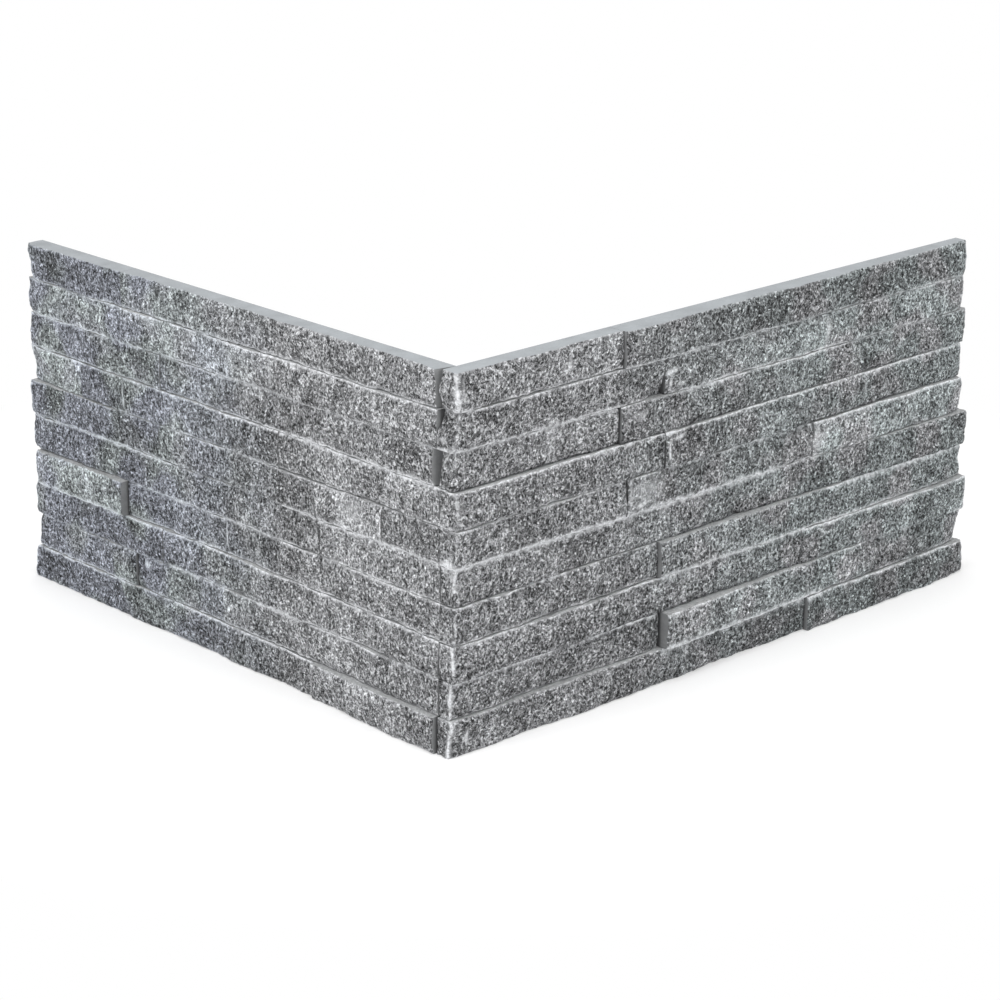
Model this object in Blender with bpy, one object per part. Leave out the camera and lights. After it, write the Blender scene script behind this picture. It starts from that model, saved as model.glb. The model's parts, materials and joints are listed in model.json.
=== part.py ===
"""Stone cladding corner piece.

Ten courses of quartzite strip, glued bed on bed, turn an outside corner. Every strip is sawn
flat on its back, beds and ends, and split by hand on its face. The right arm runs through to
the outer corner, and the strips of the left arm butt against its back.

X runs along the right arm, Y along the left arm, Z up. The inner corner, where the two flat
backs meet at the foot of the panel, is the origin. Lengths are in metres.
"""

import math
from typing import NamedTuple

import bmesh
import bpy
from mathutils import Vector, noise

MM = 0.001

# Overall sizes: each arm's reach from the inner corner, and the height that the strips are
# sawn to. Ten strips and their nine glue lines make a panel 180 mm high.
RIGHT_REACH = 346.5 * MM
LEFT_REACH = 312.5 * MM
STRIP_HEIGHT = 17.73 * MM

# Joints: the glue line on the beds, the joint between two strips, and the butt at the corner
BED_JOINT = 0.3 * MM
HEAD_JOINT = 0.5 * MM
BUTT_JOINT = 0.3 * MM

# Facets of the split face: their length, the heights of their rows as shares of a course,
# and how many lie across a split end
FACET_LENGTH = 7.5 * MM
FACET_ROWS = (0.0, 0.17, 0.5, 0.83, 1.0)
END_FACETS = 3
FEWEST_FACETS = 2

# Relief of the split face: long swells, short hollows and cleavage ledges
SWELL_DEPTH = 1.1 * MM
SWELL_LENGTH = 46 * MM
HOLLOW_DEPTH = 0.8 * MM
HOLLOW_LENGTH = 14 * MM
LEDGE_DEPTH = 0.55 * MM
LEDGE_LENGTH = 24 * MM

# Beside a joint the relief dies away over this length, so that neighbours meet flush, unless
# the tables below give them different thicknesses there
CALM_LENGTH = 8 * MM

# Stone lost along the top and bottom arrises, over the split ends and at their corners
ARRIS_DEPTH = 0.9 * MM
ARRIS_LENGTH = 11 * MM
BROKEN_END_DEPTH = 0.9 * MM
END_WEAR = 1.0 * MM

# How much of a course's height a chip takes in, as a share on each side of its middle
CHIP_HALF_HEIGHT = 0.55

# Colour of each stone, linear, and the roughness that they share
STONES = {
    "light": (0.285, 0.290, 0.298),
    "mid": (0.212, 0.218, 0.224),
    "dark": (0.168, 0.174, 0.184),
}
STONE_ROUGHNESS = 0.82


class Arm(NamedTuple):
    """One arm of the corner, its courses counted from the top. Lengths are in millimetres.

    A strip is its length, its thickness at the near end and at the far end, and its stone.
    A course's strips share out the arm's reach, each in proportion to its length here.
    """

    name: str
    face: int            # which side of local X the face looks to, 1 or -1
    courses: tuple
    free_ends: tuple     # how far each course stops short of the reach, at its top and foot
    open_joints: dict    # width of the joints that gape, by course and the strip before them
    chips: tuple         # course, strip, place, height in the course, half length and depth


RIGHT = Arm(
    name="right",
    face=-1,
    courses=(
        ((93.5, 10.9, 10.2, "light"), (253, 12.6, 8.2, "dark")),
        ((121.5, 11.2, 10.0, "mid"), (225, 10.2, 8.4, "light")),
        ((92, 9.4, 9.0, "light"), (254.5, 10.8, 7.6, "mid")),
        ((121.5, 11.6, 10.6, "mid"), (105, 11.4, 9.6, "mid"), (120, 9.4, 7.0, "dark")),
        ((97, 11.2, 10.2, "mid"), (131, 11.0, 9.2, "mid"), (118.5, 9.8, 8.8, "light")),
        ((227.5, 9.6, 8.4, "mid"), (119, 8.4, 12.6, "dark")),
        ((120, 10.6, 8.4, "mid"), (226.5, 11.8, 8.8, "mid")),
        ((87.5, 10.7, 10.7, "mid"), (134.5, 10.4, 9.2, "mid"), (124.5, 9.8, 12.0, "mid")),
        ((88, 8.0, 8.6, "dark"), (34, 8.6, 8.2, "dark"), (142, 14.2, 10.6, "light"), (82.5, 10.4, 8.4, "mid")),
        ((89, 9.0, 10.4, "mid"), (137, 10.4, 9.6, "dark"), (120.5, 12.6, 10.8, "dark")),
    ),
    free_ends=(
        (1.9, 2.7), (2.4, 2.4), (-0.3, 0.3), (0.5, 1.3), (1.7, 1.4),
        (-1.6, 0.8), (-0.8, -2.0), (-3.2, -2.2), (-4.7, -1.1), (-4.4, -6.6),
    ),
    open_joints={(3, 1): 0.9, (9, 2): 1.2},
    chips=(
        (2, 1, 119, 0.10, 9, 3.6), (2, 2, 263, 0.70, 9, 1.6), (4, 2, 221, 0.25, 8, 1.4),
        (6, 1, 183, 0.15, 20, 1.5), (9, 1, 50, 0.05, 34, 1.6), (10, 3, 349, 0.0, 9, 1.0),
    ),
)

LEFT = Arm(
    name="left",
    face=1,
    courses=(
        ((231.5, 10.6, 9.8, "light"), (81, 9.8, 10.8, "dark")),
        ((153.5, 11.4, 10.6, "light"), (78.5, 10.6, 11.2, "light"), (80.5, 10.2, 9.4, "light")),
        ((83.5, 10.6, 9.8, "light"), (119, 9.8, 9.2, "mid"), (110, 9.8, 9.0, "mid")),
        (
            (37.5, 10.0, 9.6, "light"),
            (75, 9.6, 9.4, "light"),
            (120.5, 9.8, 10.0, "mid"),
            (36, 10.0, 9.4, "dark"),
            (43.5, 9.4, 8.2, "light"),
        ),
        ((39, 9.8, 10.2, "mid"), (47.5, 10.8, 10.6, "light"), (118.5, 10.0, 9.2, "mid"), (107.5, 9.4, 10.8, "dark")),
        ((84.5, 10.0, 9.4, "light"), (118.5, 9.0, 9.2, "mid"), (49.5, 9.2, 9.2, "dark"), (60, 9.2, 9.6, "dark")),
        ((113, 10.4, 8.8, "mid"), (43, 8.6, 8.0, "dark"), (77.5, 8.2, 8.4, "mid"), (79, 13.2, 13.2, "light")),
        ((85.5, 11.2, 9.6, "light"), (120, 9.4, 9.0, "mid"), (107, 9.4, 10.2, "dark")),
        ((158, 11.4, 8.8, "mid"), (69.5, 8.8, 8.8, "mid"), (85, 9.6, 9.4, "mid")),
        ((89, 14.4, 12.6, "light"), (117.5, 9.8, 9.6, "dark"), (106, 9.6, 10.6, "dark")),
    ),
    free_ends=(
        (1.8, 6.7), (0.3, 1.6), (-0.2, -1.4), (-2.4, -0.2), (-0.8, -0.8),
        (-0.6, 0.3), (4.3, 4.3), (-0.9, -0.9), (2.1, -0.8), (-1.5, -4.6),
    ),
    open_joints={(7, 3): 0.8, (9, 2): 0.8},
    chips=(
        (4, 5, 311, 0.45, 9, 2.4), (5, 2, 86, 0.10, 8, 1.6), (5, 3, 153, 0.25, 9, 1.6),
        (6, 2, 91, 0.25, 8, 1.6), (9, 2, 225, 0.60, 7, 1.0), (10, 3, 303, 0.0, 10, 1.0),
    ),
)

# How far the right arm's split corner ends stop short of the left arm's face, at the top and
# foot of each course, and how far the left arm's sawn corner ends slant away on that face
CORNER_SETBACKS = (
    (2.6, 2.4), (5.4, 0.2), (2.9, 1.3), (0.2, 0.2), (0.4, -0.6),
    (0.3, 0.2), (0.3, 0.2), (0.3, 0.2), (0.7, 0.3), (2.4, 2.2),
)
CORNER_SLANTS = (2.5, 0.8, 4.6, 0.3, 0.3, 0.3, 0.3, 0.4, 0.5, 1.4)


class Ends(NamedTuple):
    """Where a strip begins and stops, and how its two ends are finished, in metres."""

    start: float
    stop: float
    slant: float = 0.0           # how far the sawn near end leans away at the face
    near_split: tuple = None     # setback of a split near end at its top and foot
    far_split: tuple = None      # the same for a split far end
    joins_near: bool = False     # whether it meets a neighbour in its course at the near end
    joins_far: bool = False      # the same at the far end


def blend(first, last, share):
    return first + (last - first) * share


def wander(along, up, seed, length):
    """Smooth seeded noise between about -1 and 1."""
    return noise.noise(Vector((along / length, 1.5 * up / length, seed)))


def split_relief(along, up, seed):
    """Height of the riven face over its mean plane."""
    swell = SWELL_DEPTH * wander(along, up, seed, SWELL_LENGTH)
    hollow = HOLLOW_DEPTH * wander(along, up, seed + 31.7, HOLLOW_LENGTH)
    ledges = round(2.2 * wander(along, up, seed + 67.3, LEDGE_LENGTH))
    return swell + hollow + LEDGE_DEPTH * ledges


def calm(ends, place):
    """Share of the relief that is left at this place, beside a joint or away from it."""
    away = CALM_LENGTH
    if ends.joins_near:
        away = min(away, place - ends.start)
    if ends.joins_far:
        away = min(away, ends.stop - place)
    return max(away, 0.0) / CALM_LENGTH


def arris_loss(along, share_up, seed):
    """How much of the face is knocked off along its top and bottom arrises."""
    if FACET_ROWS[0] < share_up < FACET_ROWS[-1]:
        return 0.0
    edge_seed = seed + (5.1 if share_up > 0.5 else 9.4)
    return ARRIS_DEPTH * (0.3 + abs(wander(along, 0.0, edge_seed, ARRIS_LENGTH)))


def chip_loss(chips, along, share_up):
    """Depth that the broken places of this strip take off the face."""
    loss = 0.0
    for place, height, half_length, depth in chips:
        off_along = (along - place) / half_length
        off_up = (share_up - height) / CHIP_HALF_HEIGHT
        loss += depth * max(0.0, 1.0 - off_along ** 2 - off_up ** 2)
    return loss


def sawn_block(pieces_long):
    """A unit block cut into facets along its length, through its thickness and up its face."""
    bm = bmesh.new()
    bmesh.ops.create_cube(bm, size=1.0)
    bmesh.ops.translate(bm, verts=bm.verts, vec=(0.5, 0.5, 0.5))
    for axis, pieces in ((0, pieces_long), (1, END_FACETS), (2, len(FACET_ROWS) - 1)):
        along_axis = [e for e in bm.edges if abs(e.verts[0].co[axis] - e.verts[1].co[axis]) > 1e-6]
        bmesh.ops.subdivide_edges(bm, edges=along_axis, cuts=pieces - 1, use_grid_fill=True)
    return bm


def split_the_face(bm, ends, near, far, chips, seed):
    """Move the block's corners to the strip's real form, its face towards local +Y."""
    for vert in bm.verts:
        share_along, share_out, share_up = vert.co
        share_up = FACET_ROWS[round(share_up * (len(FACET_ROWS) - 1))]
        place = blend(ends.start, ends.stop, share_along)
        up = share_up * STRIP_HEIGHT
        depth = blend(near, far, share_along) + calm(ends, place) * split_relief(place, up, seed)
        depth -= arris_loss(place, share_up, seed) + chip_loss(chips, place, share_up)
        split, inward = None, 1.0
        if share_along < 1e-4:
            split = ends.near_split
        elif share_along > 1 - 1e-4:
            split, inward = ends.far_split, -1.0
        if split:
            depth -= END_WEAR
            broken = BROKEN_END_DEPTH * wander(share_out * near, up, seed + 3.3, HOLLOW_LENGTH)
            place += inward * blend(split[1], split[0], share_up) + broken
        out = share_out * depth
        if share_along < 1e-4:
            place += ends.slant * out / near
        vert.co = Vector((place - ends.start, out, up))


def stone_material(name, stone):
    material = bpy.data.materials.new(name)
    material.use_nodes = True
    shader = material.node_tree.nodes["Principled BSDF"]
    shader.inputs["Base Color"].default_value = (*STONES[stone], 1.0)
    shader.inputs["Roughness"].default_value = STONE_ROUGHNESS
    shader.inputs["Metallic"].default_value = 0.0
    material.diffuse_color = (*STONES[stone], 1.0)
    return material


def strip(name, stone, ends, near, far, chips, face, seed):
    """One strip of stone along local X, its back on the XZ plane and its bed on the XY plane."""
    facets = round((ends.stop - ends.start) / FACET_LENGTH)
    bm = sawn_block(max(FEWEST_FACETS, facets))
    split_the_face(bm, ends, near, far, chips, seed)
    bmesh.ops.scale(bm, verts=bm.verts, vec=(1, face, 1))
    sawn_flat = math.radians(0.01)
    bmesh.ops.dissolve_limit(bm, angle_limit=sawn_flat, verts=bm.verts, edges=bm.edges)
    bmesh.ops.recalc_face_normals(bm, faces=bm.faces)
    mesh = bpy.data.meshes.new(name)
    bm.to_mesh(mesh)
    bm.free()
    mesh.materials.append(stone_material(name, stone))
    piece = bpy.data.objects.new(name, mesh)
    bpy.context.collection.objects.link(piece)
    return piece


def in_metres(lengths):
    return tuple(length * MM for length in lengths)


def lay_course(arm, empty, course, reach, corner):
    """Lay one course from the corner to the free end. corner holds the first strip's Ends."""
    number = course + 1
    strips = arm.courses[course]
    stretch = reach / sum(length for length, *_ in strips)
    foot = (len(arm.courses) - number) * (STRIP_HEIGHT + BED_JOINT)
    ends = corner
    laid = 0.0
    for place, (length, near, far, stone) in enumerate(strips, 1):
        laid += length * stretch
        ends = ends._replace(stop=laid, joins_far=place < len(strips))
        if place == len(strips):
            ends = ends._replace(far_split=in_metres(arm.free_ends[course]))
        chips = [
            (spot * stretch, height, half_length * MM, depth * MM)
            for *chipped, spot, height, half_length, depth in arm.chips
            if chipped == [number, place]
        ]
        piece = strip(
            f"{arm.name}_course_{number:02d}_strip_{place}",
            stone, ends, near * MM, far * MM, chips, arm.face,
            seed=100.0 * arm.face + 7.0 * number + 1.3 * (place - 1),
        )
        piece.parent = empty
        piece.location = (ends.start, 0.0, foot)
        joint = arm.open_joints.get((number, place))
        ends = Ends(start=laid + (joint * MM if joint else HEAD_JOINT), stop=None, joins_near=True)


def lay_arm(arm, reach, turn, corners):
    """All courses of one arm, carried by an empty at the inner corner."""
    empty = bpy.data.objects.new(f"{arm.name}_arm", None)
    empty.rotation_euler.z = turn
    bpy.context.collection.objects.link(empty)
    for course in range(len(arm.courses)):
        lay_course(arm, empty, course, reach, corners[course])


def right_corners():
    """The right arm's strips run past the inner corner to the left arm's face."""
    faces = [course[0][1] * MM for course in LEFT.courses]
    return [
        Ends(start=-face, stop=None, near_split=in_metres(setbacks))
        for face, setbacks in zip(faces, CORNER_SETBACKS)
    ]


def left_corners():
    """The left arm's strips start at the right arm's back, sawn a little on the slant."""
    return [
        Ends(start=BUTT_JOINT, stop=None, slant=slant * MM, joins_near=True)
        for slant in CORNER_SLANTS
    ]


for old in list(bpy.data.objects):
    bpy.data.objects.remove(old, do_unlink=True)
lay_arm(RIGHT, RIGHT_REACH, 0.0, right_corners())
lay_arm(LEFT, LEFT_REACH, math.radians(90), left_corners())
bpy.context.view_layer.update()
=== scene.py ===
# %% [markdown]
# A corner panel of stone cladding: strips of grey quartzite, glued bed on bed, turn an outside
# corner. The CAD model already has every strip at its real size and place, but each face is
# only a few dozen facets. Here each strip gets a face with the grain of split quartzite, and
# the finishes that a quarry leaves: riven, sawn and bruised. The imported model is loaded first,
# because everything that follows is measured from it.

import json
import math

import bpy
import numpy as np
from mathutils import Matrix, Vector, noise

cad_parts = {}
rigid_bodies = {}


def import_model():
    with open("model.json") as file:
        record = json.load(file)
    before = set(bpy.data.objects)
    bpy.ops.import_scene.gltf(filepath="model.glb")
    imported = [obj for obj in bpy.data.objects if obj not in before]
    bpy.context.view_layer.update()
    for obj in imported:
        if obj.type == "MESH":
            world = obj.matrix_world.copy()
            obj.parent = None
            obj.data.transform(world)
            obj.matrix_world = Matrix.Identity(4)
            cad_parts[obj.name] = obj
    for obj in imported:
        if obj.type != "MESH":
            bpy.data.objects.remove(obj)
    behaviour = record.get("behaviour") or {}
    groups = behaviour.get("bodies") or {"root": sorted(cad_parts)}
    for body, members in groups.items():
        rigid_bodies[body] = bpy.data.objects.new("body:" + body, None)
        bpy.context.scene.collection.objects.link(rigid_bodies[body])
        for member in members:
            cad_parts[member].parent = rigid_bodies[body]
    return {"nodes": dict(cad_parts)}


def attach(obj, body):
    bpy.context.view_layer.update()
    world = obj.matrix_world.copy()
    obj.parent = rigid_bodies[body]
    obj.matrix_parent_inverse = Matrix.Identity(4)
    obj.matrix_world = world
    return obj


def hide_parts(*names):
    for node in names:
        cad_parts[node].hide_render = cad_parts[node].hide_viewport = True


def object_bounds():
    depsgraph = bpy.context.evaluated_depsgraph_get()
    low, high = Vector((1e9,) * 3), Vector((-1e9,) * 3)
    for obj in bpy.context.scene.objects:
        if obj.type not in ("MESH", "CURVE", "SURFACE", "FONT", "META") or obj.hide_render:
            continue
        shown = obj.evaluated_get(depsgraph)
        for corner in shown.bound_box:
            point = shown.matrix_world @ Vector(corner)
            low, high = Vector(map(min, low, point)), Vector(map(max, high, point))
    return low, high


for old in list(bpy.data.objects):
    bpy.data.objects.remove(old)

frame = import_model()
cad_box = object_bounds()
strip_names = sorted(frame["nodes"])
print(len(strip_names), "strips, CAD box", [[round(v, 4) for v in corner] for corner in cad_box])

# %% [markdown]
# Both arms are laid in the same way, so one set of directions serves them. Along runs from the
# inner corner to the free end, out runs from the sawn back to the split face, and up is up.
# A strip is then a table of corner points in these three lengths, whichever arm it is on.

# %% Directions of the two arms
MM = 0.001
ARMS = {
    "right": (Vector((1, 0, 0)), Vector((0, -1, 0))),
    "left": (Vector((0, 1, 0)), Vector((-1, 0, 0))),
}


def packed_points(name):
    """The strip's corner points as rows of along, out and up."""
    along, out = ARMS[name.split("_")[0]]
    mesh = frame["nodes"][name].data
    points = np.array([vert.co for vert in mesh.vertices])
    lengths = np.column_stack((points @ np.array(along), points @ np.array(out), points[:, 2]))
    return np.unique(lengths.round(6), axis=0)


print("corner points of", strip_names[0], len(packed_points(strip_names[0])))

# %% [markdown]
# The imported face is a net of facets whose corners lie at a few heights. To lay a finer face
# over it, the outline is read at each of those heights: the two corners where the face meets
# the ends, and the points between them. A ray cast from the front would give the same face,
# but the corner points also give the ends, which lean where a strip was broken off.

# %% Read a strip's outline at each height
CORNER_MARGIN = 2.0 * MM
BACK_MARGIN = 1.0 * MM
SAME_HEIGHT = 0.01 * MM


class Outline:
    """A strip's face and back edges, by height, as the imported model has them."""

    def __init__(self, name):
        points = packed_points(name)
        self.heights = np.unique(points[:, 2].round(5))
        self.faces = []
        self.backs = []
        for height in self.heights:
            level = points[abs(points[:, 2] - height) < SAME_HEIGHT]
            near = level[np.argmax(level[:, 1] - level[:, 0])]
            far = level[np.argmax(level[:, 1] + level[:, 0])]
            between = level[
                (level[:, 0] > near[0] + CORNER_MARGIN)
                & (level[:, 0] < far[0] - CORNER_MARGIN)
                & (level[:, 1] > BACK_MARGIN)
            ]
            between = between[np.argsort(between[:, 0])]
            self.faces.append(np.vstack((near, between, far)))
            back = level[level[:, 1] < BACK_MARGIN]
            self.backs.append((back[:, 0].min(), back[:, 0].max()) if len(back) > 1 else None)
        # A height without corners on the back lies on the line from the back's foot to its head
        for row, back in enumerate(self.backs):
            if back is None:
                share = (self.heights[row] - self.heights[0]) / (self.heights[-1] - self.heights[0])
                foot, head = np.array(self.backs[0]), np.array(self.backs[-1])
                self.backs[row] = tuple(foot + (head - foot) * share)
        self.backs = np.array(self.backs)
        self.low = points.min(0)
        self.high = points.max(0)


outlines = {name: Outline(name) for name in strip_names}
print("facet rows per strip:", sorted({len(outline.heights) for outline in outlines.values()}))

# %% [markdown]
# The fine face is a sheet that wraps round the strip: up the near end, along the face and back
# along the far end. Its rows crowd together at the top and bottom arrises, where the stone is
# bruised, and its columns are a grain apart. The beds and the back stay flat, as the saw left
# them, so they need no more than one large face each.

# %% Spacing of the fine sheet
GRAIN = 0.72 * MM
ARRIS_ROWS = np.array((0.0, 0.16, 0.38, 0.68, 1.1, 1.6, 2.2)) * MM
FINE_COLUMNS = 3


def row_heights(low, high):
    """Heights of the sheet's rows, fine at both arrises and a grain apart between them."""
    inner_low, inner_high = low + ARRIS_ROWS[-1], high - ARRIS_ROWS[-1]
    inner = np.linspace(inner_low, inner_high, round((inner_high - inner_low) / GRAIN) + 1)
    return np.concatenate((low + ARRIS_ROWS[:-1], inner, (high - ARRIS_ROWS[:-1])[::-1]))


def column_shares(length):
    """Shares of the face's length at which the sheet's columns stand, finest at its ends."""
    ends, edge = ARRIS_ROWS[:FINE_COLUMNS], ARRIS_ROWS[FINE_COLUMNS]
    steps = max(2, round((length - 2 * edge) / GRAIN))
    inner = np.linspace(edge, length - edge, steps + 1)
    return np.concatenate((ends, inner, (length - ends)[::-1])) / length


sample = outlines[strip_names[0]]
sample_rows = row_heights(sample.low[2], sample.high[2])
sample_shares = column_shares(sample.high[0] - sample.low[0])
print(strip_names[0], "has", len(sample_rows), "rows and", len(sample_shares), "columns")

# %% [markdown]
# Split quartzite has no smooth facets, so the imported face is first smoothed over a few
# millimetres. It keeps every swell, ledge and lost corner of the CAD model, but not its creases.

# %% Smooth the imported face
SMOOTHING = 1.9 * MM


def smoothed(rows):
    """Blur each row of depths with a bell of SMOOTHING, cut off at three times its width."""
    reach = math.ceil(3 * SMOOTHING / GRAIN)
    offsets = np.arange(-reach, reach + 1) * GRAIN
    bell = np.exp(-0.5 * (offsets / SMOOTHING) ** 2)
    bell /= bell.sum()
    padded = np.pad(rows, ((0, 0), (reach, reach)), mode="edge")
    return np.array([np.convolve(row, bell, mode="valid") for row in padded])


def face_grid(outline, heights, shares):
    """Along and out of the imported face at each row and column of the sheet."""
    along_rows, out_rows = [], []
    for face in outline.faces:
        along = face[0, 0] + shares * (face[-1, 0] - face[0, 0])
        along_rows.append(along)
        out_rows.append(np.interp(along, face[:, 0], face[:, 1]))
    along_rows, out_rows = np.array(along_rows), np.array(out_rows)
    along = np.array([np.interp(heights, outline.heights, column) for column in along_rows.T]).T
    out = np.array([np.interp(heights, outline.heights, column) for column in out_rows.T]).T
    return along, smoothed(out)


sample_out = face_grid(sample, sample_rows, sample_shares)[1] / MM
print("its face stands", sample_out.min().round(2), "to", sample_out.max().round(2), "mm out")

# %% [markdown]
# What the hammer and chisel leave on quartzite has three sizes. Shallow scoops run a centimetre
# or two, cleavage steps break the face into small terraces, and single grains stand up or have
# come out. Each is one call of a noise function, and they add up to the depth of the face.

# %% Relief of a riven face
SCOOP_DEPTH, SCOOP_LENGTH = 0.30 * MM, 9.0 * MM
STEP_DEPTH, STEP_LENGTH = 0.22 * MM, 6.0 * MM
TERRACES, TERRACE_SLOPE = 3.0, 0.35
PIT_DEPTH, PIT_LENGTH = 0.26 * MM, 2.6 * MM
GRAIN_DEPTH, GRAIN_LENGTH = 0.17 * MM, 1.5 * MM


def riven(along, up, out, seed):
    """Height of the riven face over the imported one, in metres."""
    spot = Vector((along, up, out + seed))
    scoop = SCOOP_DEPTH * noise.noise(spot / SCOOP_LENGTH)
    slope = TERRACES * noise.noise(spot / STEP_LENGTH)
    step = STEP_DEPTH * (round(slope) + TERRACE_SLOPE * (slope - round(slope)))
    pit = PIT_DEPTH * noise.noise(spot / PIT_LENGTH)
    grain = GRAIN_DEPTH * noise.noise(spot / GRAIN_LENGTH)
    return scoop + step + pit + grain


print("riven relief at one spot:", round(riven(0.1, 0.05, 0.01, 3.0) / MM, 3), "mm")

# %% [markdown]
# Along the top and bottom arrises the stone crumbles: grains have come away and left a small
# uneven bevel, with a larger nick here and there. The same happens where a split end meets the
# face. Where quartzite is crushed it turns white, so every arris also carries a bruise. The
# bruise is also a painted highlight, standing in for the light that the arris catches. It is
# wider than the bevel, and comes and goes along the edge.

# %% Stone lost and bruised along the arrises, with a painted highlight
BEVEL_REACH, BEVEL_DEPTH, BEVEL_LENGTH = 0.55 * MM, 0.30 * MM, 5.0 * MM
NICK_DEPTH, NICK_LENGTH, NICK_RARITY = 1.1 * MM, 9.0 * MM, 0.30
# The bruise is partly crushed stone and partly a painted highlight along the arris
BRUISE_AND_HIGHLIGHT_REACH, BRUISE_AND_HIGHLIGHT_LENGTH = 0.90 * MM, 11.0 * MM
CRUMBLE_DEPTH, CRUMBLE_REACH, CRUMBLE_LENGTH = 0.75 * MM, 0.8 * MM, 3.5 * MM
# Each use of the noise along an edge has a field of its own
BEVEL_FIELD, BEVEL_GRAIN_FIELD, NICK_FIELD = 0.0, 4.0, 8.0
BRUISE_AND_HIGHLIGHT_FIELD, BRUISE_AND_HIGHLIGHT_GRAIN_FIELD, BRUISE_AND_HIGHLIGHT_EDGE_FIELD = 12.0, 16.0, 20.0
CRUMBLE_FIELD, CRUMBLE_SWELL_FIELD = 24.0, 28.0


def edge_noise(along, length, seed, field):
    return noise.noise(Vector((along / length, seed, field)))


def bevel(distance, along, seed):
    """How much of the face is gone at this distance from an arris."""
    loose = 0.45 + 0.9 * abs(edge_noise(along, BEVEL_LENGTH, seed, BEVEL_FIELD))
    loose += 0.4 * edge_noise(along, 0.3 * BEVEL_LENGTH, seed, BEVEL_GRAIN_FIELD)
    reach = BEVEL_REACH * max(0.35, loose)
    nick = max(0.0, edge_noise(along, NICK_LENGTH, seed, NICK_FIELD) - NICK_RARITY)
    return (BEVEL_DEPTH * loose + NICK_DEPTH * nick) * math.exp(-((distance / reach) ** 2))


def bruise_and_painted_light(distance, along, seed, wear=1.0):
    """How white the stone is at this distance from an arris, from 0 to 1: bruise and painted highlight.
    """
    strength = wear * (0.85 + 0.9 * edge_noise(along, BRUISE_AND_HIGHLIGHT_LENGTH, seed, BRUISE_AND_HIGHLIGHT_FIELD))
    strength += 0.7 * edge_noise(along, 0.2 * BRUISE_AND_HIGHLIGHT_LENGTH, seed, BRUISE_AND_HIGHLIGHT_GRAIN_FIELD)
    reach = BRUISE_AND_HIGHLIGHT_REACH * (0.72 + 0.28 * wear)
    reach *= 1.0 + 0.9 * edge_noise(along, 0.3 * BRUISE_AND_HIGHLIGHT_LENGTH, seed, BRUISE_AND_HIGHLIGHT_EDGE_FIELD)
    return min(1.0, max(0.0, strength)) * math.exp(-((distance / reach) ** 2))


def crumble(distance, along, seed):
    """How far an arris between two courses has crumbled back into its own strip."""
    eaten = max(0.0, edge_noise(along, CRUMBLE_LENGTH, seed, CRUMBLE_FIELD))
    eaten += 0.8 * max(0.0, edge_noise(along, 4.0 * CRUMBLE_LENGTH, seed, CRUMBLE_SWELL_FIELD))
    return CRUMBLE_DEPTH * eaten * math.exp(-((distance / CRUMBLE_REACH) ** 2))


print("bevel at the arris:", round(bevel(0.0, 0.1, 2.0) / MM, 2), "mm")

# %% [markdown]
# The bed between two courses shows as a thin white line, because both arrises beside it were
# knocked when the strips were laid, and the line is also a painted highlight along them. Some
# runs of a bed were knocked harder or less than others, and those are listed. The outer corner
# is worn as well, more on some courses than on others, and its wear is also a painted highlight
# that shows the corner. Three of its split ends bulge.

# %% Wear and painted highlight between the courses
# The course above the bed, with 0 for the top edge, start and end along the arm in mm, and how
# hard the run was knocked, which also sets its painted highlight. The first run that holds a
# place counts, and elsewhere the wear is 1.
WORN_AND_HIGHLIT_BEDS = {
    "right": (
        (0, 0, 360, 0.30), (1, 0, 203, 0.80), (1, 203, 274, 0.50), (1, 274, 360, 0.70),
        (2, 96, 131, 0.40), (2, 131, 167, 2.10), (2, 34, 252, 1.20), (2, 252, 360, 0.45),
        (3, 78, 131, 2.20), (3, 167, 212, 1.20), (3, 212, 257, 0.75), (3, 257, 360, 1.90),
        (4, 0, 96, 0.65), (4, 96, 167, 0.35), (4, 167, 257, 1.50), (4, 257, 360, 1.55),
        (5, 0, 96, 2.40), (5, 96, 203, 3.10), (5, 203, 238, 0.80), (5, 238, 360, 0.15),
        (6, 0, 60, 0.80), (6, 60, 238, 0.30), (6, 257, 360, 5.50),
        (7, 0, 96, 0.70), (7, 123, 160, 2.80), (7, 160, 238, 1.50), (7, 238, 302, 2.00),
        (8, 0, 131, 2.10), (8, 167, 257, 0.50),
        (9, 0, 123, 0.55), (9, 123, 238, 5.20), (9, 238, 280, 0.80), (10, 0, 360, 0.20),
    ),
    "left": (
        (0, 0, 360, 0.30), (1, 247, 360, 0.60), (1, 71, 232, 1.20),
        (2, 280, 360, 1.60), (2, 0, 103, 0.45), (2, 103, 200, 0.85),
        (3, 0, 103, 2.00), (3, 103, 167, 1.40), (3, 167, 263, 0.80), (3, 263, 360, 1.30),
        (4, 263, 295, 0.05), (4, 192, 360, 0.40), (4, 0, 71, 0.40), (4, 71, 192, 0.65),
        (5, 192, 230, 0.80), (5, 230, 263, 1.50), (5, 263, 360, 0.90),
        (5, 111, 135, 0.10), (5, 135, 192, 0.25), (5, 31, 111, 1.90),
        (6, 230, 360, 0.45), (6, 71, 103, 0.55), (6, 0, 230, 0.95),
        (7, 240, 360, 2.70), (7, 71, 103, 1.60), (7, 0, 240, 1.15),
        (8, 200, 360, 0.50), (8, 167, 200, 1.80), (8, 135, 167, 0.80),
        (8, 103, 135, 1.70), (8, 0, 40, 0.65),
        (9, 231, 295, 1.90), (9, 199, 231, 0.70), (9, 295, 360, 0.95),
        (9, 87, 231, 1.35), (9, 0, 87, 0.40), (10, 0, 360, 0.20),
    ),
}
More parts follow.
